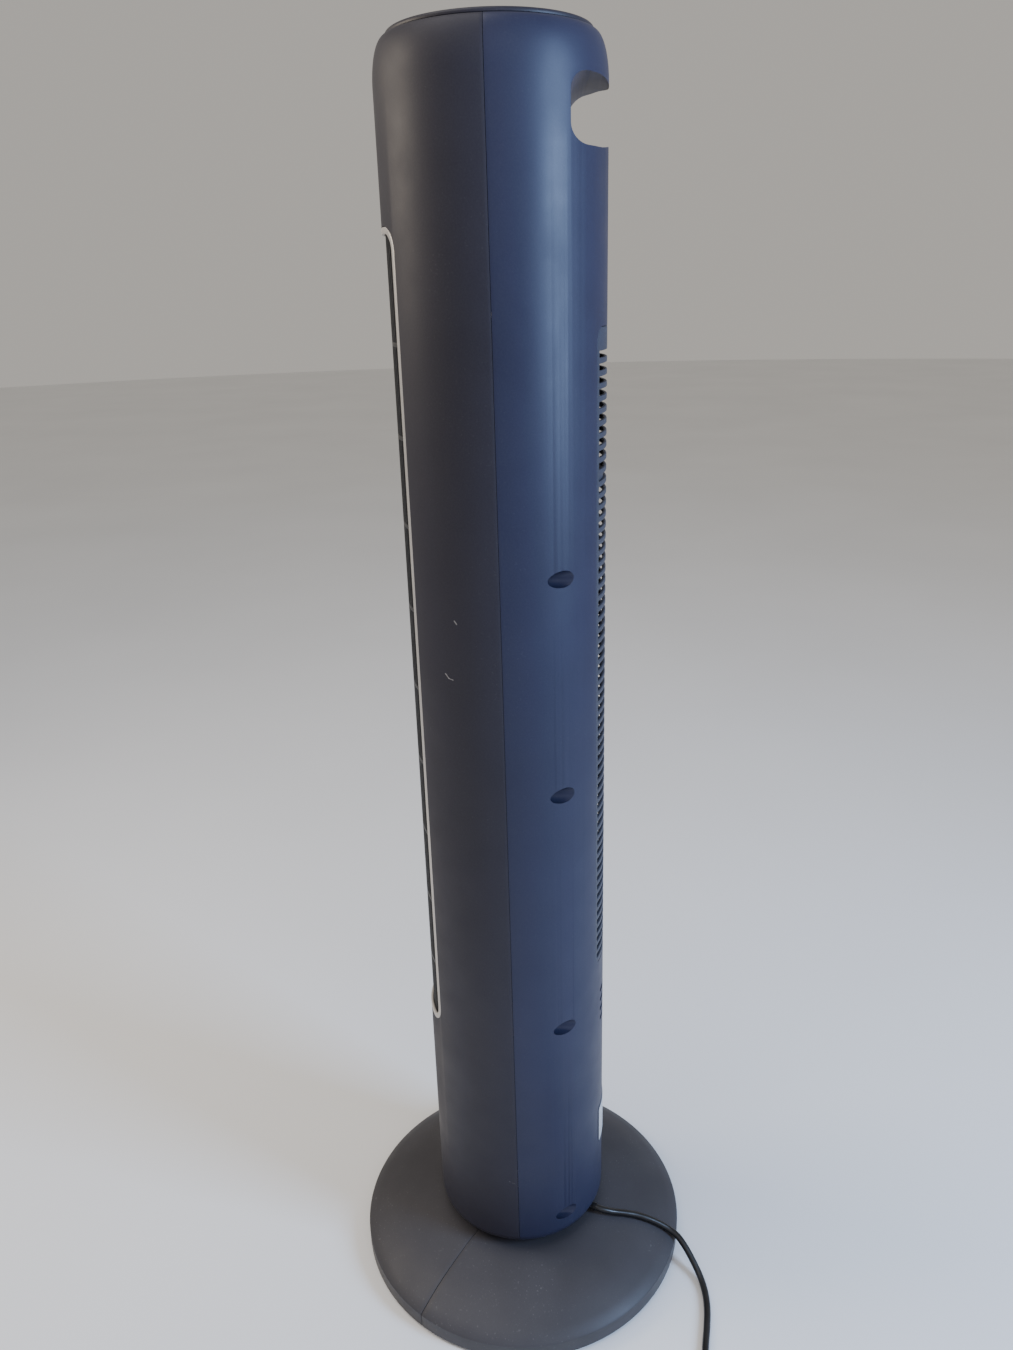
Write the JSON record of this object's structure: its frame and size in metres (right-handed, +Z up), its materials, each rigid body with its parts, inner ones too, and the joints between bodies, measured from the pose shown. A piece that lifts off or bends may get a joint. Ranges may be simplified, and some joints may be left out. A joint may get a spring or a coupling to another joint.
{
  "type": "tower fan",
  "caption": "Tall round tower fan on a domed disc base, with a front outlet grille, louvred rear inlet, handle notch, swinging column and mains lead.",
  "frame": {"origin": "middle of the round base on the floor plane under its feet", "axes": "+Z up along the column's swing axis, -Y towards the front air outlet, +Y towards the rear louvres, +X to the side; the seam between the front and rear shells lies in Y = 0"},
  "size_m": [0.4053, 0.382, 1.01],
  "materials": {
    "shell_front": "fine moulded texture, near-black charcoal",
    "shell_rear": "fine moulded texture, blue-black",
    "base": "fine moulded texture, dark grey, lightly scuffed",
    "trim": "satin warm grey",
    "grille": "black",
    "louvre": "blue-black, fine texture",
    "panel": "high gloss black",
    "window": "smoked display window",
    "button": "soft satin",
    "rubber": "matte black",
    "cord": "semi-gloss black PVC",
    "steel": "zinc plated",
    "motor_steel": "laminated stack and pressed bells",
    "wheel": "black moulded",
    "acetal": "natural white, slippery",
    "inner_plastic": "black moulded",
    "board": "green laminate",
    "capacitor": "dark grey case",
    "label": "blank silver film"
  },
  "bodies": {
    "root": {"base_shell_right": "base", "base_shell_left": "base", "base_nut": "acetal", "swivel_post": "inner_plastic", "glide_ring": "acetal", "retainer_ring": "acetal", "swivel_gear": "acetal", "foot_1": "rubber", "foot_2": "rubber", "foot_3": "rubber", "foot_4": "rubber", "foot_5": "rubber", "foot_6": "rubber", "power_cord": "cord", "cord_coil": "cord", "plug": "cord"},
    "column": {"turntable": "inner_plastic", "equipment_deck": "inner_plastic", "front_shell": "shell_front", "rear_shell": "shell_rear", "outlet_trim": "trim", "outlet_grille": "grille", "inlet_louvre": "louvre", "rating_label": "label", "top_cap": "shell_front", "control_panel": "panel", "display_window": "window", "control_board": "board", "scroll_wall": "inner_plastic", "tongue_wall": "inner_plastic", "motor_plate": "inner_plastic", "bearing_bracket": "inner_plastic", "bearing_bush": "rubber", "fan_motor": "motor_steel", "swing_motor": "motor_steel", "power_board": "board", "run_capacitor": "capacitor", "cord_relief": "rubber", "shell_screw_1": "steel", "shell_screw_2": "steel", "shell_screw_3": "steel", "shell_screw_4": "steel", "shell_screw_5": "steel", "shell_screw_6": "steel", "shell_screw_7": "steel", "shell_screw_8": "steel"},
    "impeller": {"impeller": "wheel", "hub_coupling": "rubber", "motor_shaft": "steel", "impeller_pin": "steel"},
    "swing_pinion": {"swing_pinion": "acetal"},
    "button_timer": {"button_timer": "button"},
    "button_mode": {"button_mode": "button"},
    "button_power": {"button_power": "button"},
    "button_speed": {"button_speed": "button"},
    "button_swing": {"button_swing": "button"}
  },
  "joints": [
    {"name": "swing", "type": "hinge", "parent": "root", "child": "column", "pos_m": [0, 0, 0.05], "axis": [0, 0, 1], "range_deg": [-75, 5]},
    {"name": "impeller_spin", "type": "hinge", "parent": "column", "child": "impeller", "pos_m": [0, 0, 0.575], "axis": [0, 0, 1], "continuous": true},
    {"name": "swing_pinion_turn", "type": "hinge", "parent": "column", "child": "swing_pinion", "pos_m": [0, -0.05, 0.0564], "axis": [0, 0, 1], "range_deg": [-301, 21]},
    {"name": "press_timer", "type": "slide", "parent": "column", "child": "button_timer", "axis": [0, 0, 1], "range_m": [-0.001, 0], "stiffness_N_per_m": 800, "springref_m": 0.0005},
    {"name": "press_mode", "type": "slide", "parent": "column", "child": "button_mode", "axis": [0, 0, 1], "range_m": [-0.001, 0], "stiffness_N_per_m": 800, "springref_m": 0.0005},
    {"name": "press_power", "type": "slide", "parent": "column", "child": "button_power", "axis": [0, 0, 1], "range_m": [-0.001, 0], "stiffness_N_per_m": 800, "springref_m": 0.0005},
    {"name": "press_speed", "type": "slide", "parent": "column", "child": "button_speed", "axis": [0, 0, 1], "range_m": [-0.001, 0], "stiffness_N_per_m": 800, "springref_m": 0.0005},
    {"name": "press_swing", "type": "slide", "parent": "column", "child": "button_swing", "axis": [0, 0, 1], "range_m": [-0.001, 0], "stiffness_N_per_m": 800, "springref_m": 0.0005}
  ],
  "couplings": [
    {"joint": "swing_pinion_turn", "follows": "swing", "ratio": 4}
  ]
}
